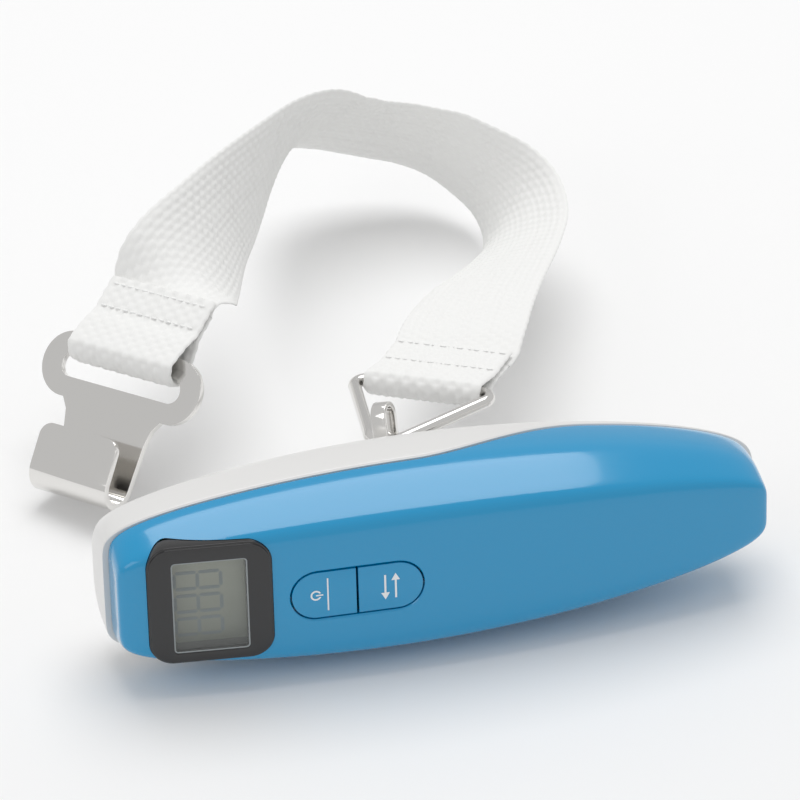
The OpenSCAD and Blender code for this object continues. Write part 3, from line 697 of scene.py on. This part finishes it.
@dataclass
class Strap:
    """The woven strap as one long band: tail, loop, free course, loop, tail."""

    width: float = 28.0
    thickness: float = 1.24
    step: float = 0.42
    across_points: int = 62
    pick: float = 2.6
    rib: float = 1.75
    hook_end: FoldedEnd = field(
        default_factory=lambda: FoldedEnd(
            (-48.5, 74.3, 28.1), (0.6264, 0.5954, 0.5031), (0.6392, -0.7618, 0.1057), 2.75
        )
    )
    ring_end: FoldedEnd = field(
        default_factory=lambda: FoldedEnd(
            (8.9, 41.8, 30.7), (0.6044, 0.796, -0.0347), (0.7943, -0.5985, 0.1045), 1.65
        )
    )
    course: tuple = (
        ((-32.2, 90.4, 38.2), (0.6, -0.6, -0.5)), ((-25.2, 99.2, 38.2), (0.45, -0.3, -0.84)),
        ((-16.9, 112.3, 36.8), (0.22, -0.12, -0.97)), ((-7.4, 126.6, 35.0), (0, 0, -1)),
        ((1.3, 139.9, 33.6), (-0.2, 0.15, -0.97)), ((8.8, 149.9, 32.2), (-0.32, 0.4, -0.85)),
        ((14.9, 155.4, 30.3), (-0.36, 0.56, -0.75)), ((20, 157.4, 28.3), (-0.3, 0.58, -0.76)),
        ((25, 157.9, 26.3), (-0.2, 0.58, -0.79)), ((30, 157.4, 24.9), (-0.12, 0.56, -0.82)),
        ((35.2, 156.2, 23.8), (-0.07, 0.54, -0.84)), ((40.6, 153.9, 22.3), (-0.05, 0.5, -0.86)),
        ((46, 149.9, 20.4), (-0.1, 0.42, -0.9)), ((50.6, 144, 18.2), (-0.18, 0.38, -0.9)),
        ((53.6, 136.2, 16.2), (-0.38, 0.33, -0.86)), ((53.8, 127.2, 15.3), (-0.58, 0.3, -0.74)),
        ((50.6, 117, 16), (-0.72, 0.34, -0.58)), ((44.8, 105.5, 18.8), (-0.77, 0.4, -0.47)),
        ((38.4, 93.5, 22.6), (-0.79, 0.46, -0.38)), ((32.3, 82, 26), (-0.79, 0.51, -0.31)),
        ((27, 71.5, 28.4), (-0.79, 0.56, -0.23)), ((22.8, 62.5, 29.7), (-0.795, 0.585, -0.15)),
    )

    def control(self) -> tuple:
        """Control points and across directions from tail to tail."""
        first = self.hook_end.profile()[::-1]
        last = self.ring_end.profile()
        middle = np.array([c[0] for c in self.course], dtype=float)
        sides = np.array([c[1] for c in self.course], dtype=float)
        points = np.concatenate([first, middle, last])
        start = np.tile(self.hook_end.across, (len(first), 1))
        end = -np.tile(self.ring_end.across, (len(last), 1))
        return points, np.concatenate([start, sides, end])

    @staticmethod
    def spline(values: np.ndarray, dense: int) -> np.ndarray:
        """Catmull-Rom curve through the rows of values, dense samples to a span."""
        padded = np.concatenate([values[:1], values, values[-1:]])
        a, b, c, d = padded[:-3], padded[1:-2], padded[2:-1], padded[3:]
        t = np.linspace(0.0, 1.0, dense, endpoint=False)[None, :, None]
        a, b, c, d = (q[:, None, :] for q in (a, b, c, d))
        square = 2 * a - 5 * b + 4 * c - d
        cube = 3 * b - a - 3 * c + d
        out = 0.5 * (2 * b + (c - a) * t + square * t**2 + cube * t**3)
        return np.concatenate([out.reshape(-1, 3), values[-1:]])

    def frames(self) -> tuple:
        """Evenly spaced centres with unit across and up directions along the band."""
        points, sides = self.control()
        fine, side = self.spline(points, 24), self.spline(sides, 24)
        run = np.concatenate([[0.0], np.cumsum(np.linalg.norm(np.diff(fine, axis=0), axis=1))])
        s = np.arange(0.0, run[-1], self.step)
        centre = np.stack([np.interp(s, run, fine[:, k]) for k in range(3)], axis=-1)
        side = np.stack([np.interp(s, run, side[:, k]) for k in range(3)], axis=-1)
        along = np.gradient(centre, axis=0)
        along /= np.linalg.norm(along, axis=1, keepdims=True)
        side -= np.sum(side * along, axis=1, keepdims=True) * along
        side /= np.linalg.norm(side, axis=1, keepdims=True)
        return s, centre, side, np.cross(side, along)

    def relief(self, s: np.ndarray, x: np.ndarray) -> np.ndarray:
        """Height of the weave: rounded picks in lengthwise ribs, each rib half a pick out of step."""
        column = np.floor(x / self.rib + 0.5)
        across = np.abs(np.cos(np.pi * (x / self.rib - column))) ** 0.6
        shift = 0.5 * np.mod(column, 2)
        lengthwise = np.abs(np.cos(np.pi * (s / self.pick + shift))) ** 0.6
        return 0.42 * across * lengthwise - 0.2

    def build(self):
        """Makes the band as a closed tube of flat section with a woven surface.

        Returns:
            The object.
        """
        s, centre, side, up = self.frames()
        self.length = float(s[-1])
        ring_part = np.clip((s - (s[-1] - 42.0)) / 12.0, 0.0, 1.0)
        x = np.sin(np.linspace(-np.pi / 2, np.pi / 2, self.across_points) * 0.98) / math.sin(np.pi / 2 * 0.98)
        x = 0.35 * x + 0.65 * np.linspace(-1, 1, self.across_points)
        scallop = 0.22 * np.abs(np.sin(np.pi * s / self.pick))
        half = (self.width / 2 - 0.7 * ring_part + scallop)[:, None]
        offset = half * x[None, :]
        thick = self.thickness / 2 * (1.0 - np.abs(x[None, :]) ** 16) ** 0.5 + 0.02
        bump = self.relief(s[:, None], offset) * (1.0 - np.abs(x[None, :]) ** 10)
        top = centre[:, None] + offset[..., None] * side[:, None] + (thick + bump)[..., None] * up[:, None]
        low = centre[:, None] + offset[..., None] * side[:, None] - (thick + bump)[..., None] * up[:, None]
        tube = np.concatenate([top, low[:, ::-1]], axis=1)
        rows, cols = tube.shape[:2]
        faces = grid_faces(rows, cols, wrap=True, flip=True).tolist()
        faces.append(list(range(cols)))
        faces.append(list(range((rows - 1) * cols, rows * cols))[::-1])
        obj = mesh_object("woven_strap", tube.reshape(-1, 3), faces, WEBBING, smooth=80)
        Case.face_outward(obj)
        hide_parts("strap")
        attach(obj, "strap_body")
        return obj

    def stitches(self):
        """Makes the rows of thread as small pointed beads lying on the tails.

        Returns:
            The object.
        """
        ring = np.linspace(0, 2 * np.pi, 6, endpoint=False)
        lengthwise = np.linspace(-1, 1, 7)
        swell = np.sqrt(np.maximum(0.02, 1 - lengthwise**2))
        cutter = Cutter()
        for end, places in ((self.hook_end, (9.5, 15.2)), (self.ring_end, (8.0, 15.2))):
            across = np.array(end.across)
            up = np.cross(across, end.along)
            along = np.array(end.along)
            for place in places:
                for k in range(-6, 7):
                    middle = end.point(place, 1.42) + across * k * 1.95
                    beads = (
                        middle
                        + (lengthwise * 0.8)[:, None, None] * across
                        + (swell[:, None] * np.cos(ring) * 0.26)[..., None] * along
                        + (swell[:, None] * np.sin(ring) * 0.2)[..., None] * up
                    )
                    faces = grid_faces(7, 6, wrap=True).tolist() + [list(range(6)), list(range(36, 42))[::-1]]
                    cutter.add(beads.reshape(-1, 3), faces)
        obj = mesh_object("thread_rows", np.concatenate(cutter.points), cutter.faces, THREAD, smooth=80)
        Case.face_outward(obj)
        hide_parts("strap_stitching")
        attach(obj, "strap_body")
        return obj


@dataclass
class Hardware:
    """Finishes and softened edges for the CAD pieces that stay."""

    rounded: dict = field(
        default_factory=lambda: {
            "hook_plate": 0.35, "pull_eye": 0.3, "display_bezel": 0.12, "power_key": 0.45,
            "unit_key": 0.45, "battery_door": 0.4, "pull_lug": 0.2,
        }
    )

    def dress(self, nodes: dict) -> None:
        """Gives every CAD node its finish, and rounds the edges of the ones that are seen."""
        for name, obj in nodes.items():
            finish = NODE_FINISH.get(name, STEEL)
            obj.data.materials.clear()
            obj.data.materials.append(finish.build())
            obj.data.polygons.foreach_set("use_smooth", np.ones(len(obj.data.polygons), dtype=bool))
            obj.data.set_sharp_from_angle(angle=math.radians(30))
            if name in self.rounded:
                weld = obj.modifiers.new("weld", "WELD")
                weld.merge_threshold = 0.00002
                bevel = obj.modifiers.new("edges", "BEVEL")
                bevel.width = self.rounded[name] * MM
                bevel.segments = 3
                bevel.limit_method = "ANGLE"
                bevel.angle_limit = math.radians(40)
                bevel.harden_normals = False
            log.info("%s: %s", name, finish.name)


@dataclass
class Studio:
    """Camera, lights and floor."""

    target: tuple = (0.0, -15.1, 19.4)
    right: tuple = (0.964, -0.2656, 0.0)
    up: tuple = (0.1523, 0.5529, 0.8192)
    toward: tuple = (-0.2175, -0.7897, 0.5736)
    distance: float = 1200.0
    focal: float = 5832.0
    principal: tuple = (456.2, 584.3)

    def camera(self) -> None:
        """Stands the camera and turns it so that the picture's middle is in its axis."""
        right, up, back = (np.array(v) / np.linalg.norm(v) for v in (self.right, self.up, self.toward))
        x = (400.0 - self.principal[0]) / self.focal
        y = -(400.0 - self.principal[1]) / self.focal
        ahead = -back + x * right + y * up
        ahead /= np.linalg.norm(ahead)
        side = right - np.dot(right, ahead) * ahead
        side /= np.linalg.norm(side)
        lift = np.cross(side, ahead)
        data = bpy.data.cameras.new("camera")
        data.sensor_width = 36.0
        data.lens = self.focal / 800.0 * 36.0
        data.clip_end = 50.0
        obj = bpy.data.objects.new("camera", data)
        place = (np.array(self.target) + self.distance * back) * MM
        turn = np.column_stack([side, lift, -ahead])
        obj.matrix_world = Matrix.Translation(place.tolist()) @ Matrix(turn.tolist()).to_4x4()
        bpy.context.scene.collection.objects.link(obj)
        bpy.context.scene.camera = obj

    def light(self, name: str, place: tuple, size: float, power: float) -> None:
        """Adds a square soft light that faces the object.

        Args:
            name: Light name.
            place: Where it stands, in metres.
            size: Side of the square in metres.
            power: Watts.
        """
        aim = (0.0, 0.06, 0.02)
        data = bpy.data.lights.new(name, "AREA")
        data.shape = "SQUARE"
        data.size = size
        data.energy = power
        obj = bpy.data.objects.new(name, data)
        back = np.array(place) - np.array(aim)
        back /= np.linalg.norm(back)
        side = np.cross((0.0, 1.0, 0.02), back)
        side /= np.linalg.norm(side)
        lift = np.cross(back, side)
        turn = Matrix(np.column_stack([side, lift, back]).tolist()).to_4x4()
        obj.matrix_world = Matrix.Translation(place) @ turn
        bpy.context.scene.collection.objects.link(obj)

    def floor(self) -> None:
        """Lays a wide pale floor that rises slowly far behind the object."""
        x = np.linspace(-6000.0, 6000.0, 25)
        y = np.linspace(-4000.0, 9000.0, 60)
        gx, gy = np.meshgrid(x, y)
        gz = -0.05 + 0.00012 * np.maximum(0.0, gy - 3000.0) ** 2
        points = np.stack([gx, gy, gz], axis=-1).reshape(-1, 3)
        paper = Finish("floor_paper", (0.9, 0.9, 0.9), 0.75)
        floor = mesh_object("studio_floor", points, grid_faces(60, 25, flip=True).tolist(), paper)

    def build(self) -> None:
        """Builds the whole set."""
        scene = bpy.context.scene
        scene.view_settings.view_transform = "Standard"
        world = bpy.data.worlds.new("studio")
        world.use_nodes = True
        world.node_tree.nodes["Background"].inputs["Color"].default_value = (1.0, 1.0, 1.0, 1.0)
        world.node_tree.nodes["Background"].inputs["Strength"].default_value = 0.62
        scene.world = world
        self.camera()
        self.light("top_box", (0.1, 0.35, 1.1), 0.9, 6.5)
        self.light("left_fill", (-0.9, -0.5, 0.7), 0.6, 1.2)
        self.floor()


def main() -> None:
    """Builds the scene piece by piece."""
    logging.basicConfig(level=logging.INFO)
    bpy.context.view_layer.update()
    Hardware().dress(frame["nodes"])
    Studio().build()
    case = Case()
    case.build()
    Display(case.shape).build()
    strap = Strap()
    band = strap.build()
    thread = strap.stitches()
    log.info("strap length %.1f mm", strap.length)
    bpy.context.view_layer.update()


if __name__ == "__main__":
    main()
